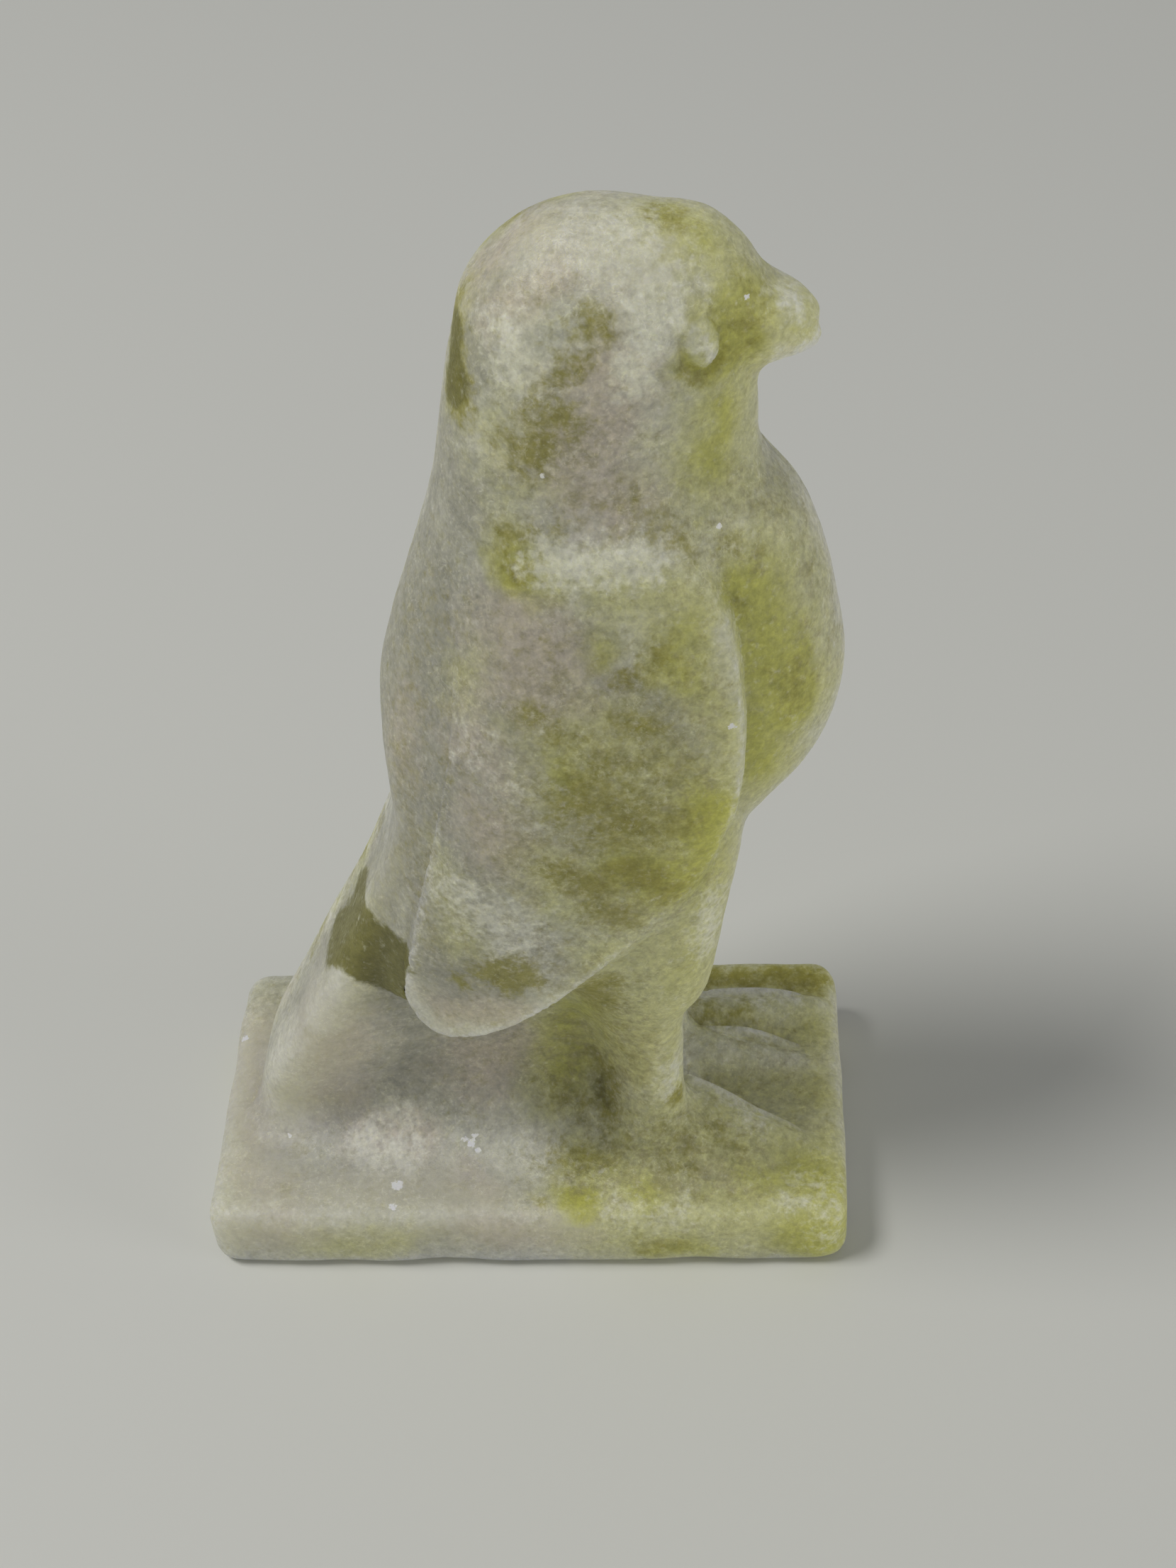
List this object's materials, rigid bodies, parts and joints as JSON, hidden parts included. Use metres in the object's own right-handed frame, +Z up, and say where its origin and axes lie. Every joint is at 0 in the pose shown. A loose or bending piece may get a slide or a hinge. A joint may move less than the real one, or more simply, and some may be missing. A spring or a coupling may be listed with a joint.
{
  "type": "stone bird figurine",
  "caption": "Small jade bird standing upright on a low rectangular plinth, carved in one piece of mottled green-white stone, wings folded and tail down to the plinth.",
  "frame": {"origin": "middle of the plinth's underside", "axes": "+X the way the bird faces, +Y to the bird's left, +Z up"},
  "size_m": [0.035, 0.0186, 0.06],
  "materials": {
    "green_white_jade": "hand-rubbed satin, slightly translucent, pale grey-white with olive and yellow-green mottling"
  },
  "bodies": {
    "root": {"bird_carving": "green_white_jade"}
  },
  "joints": []
}
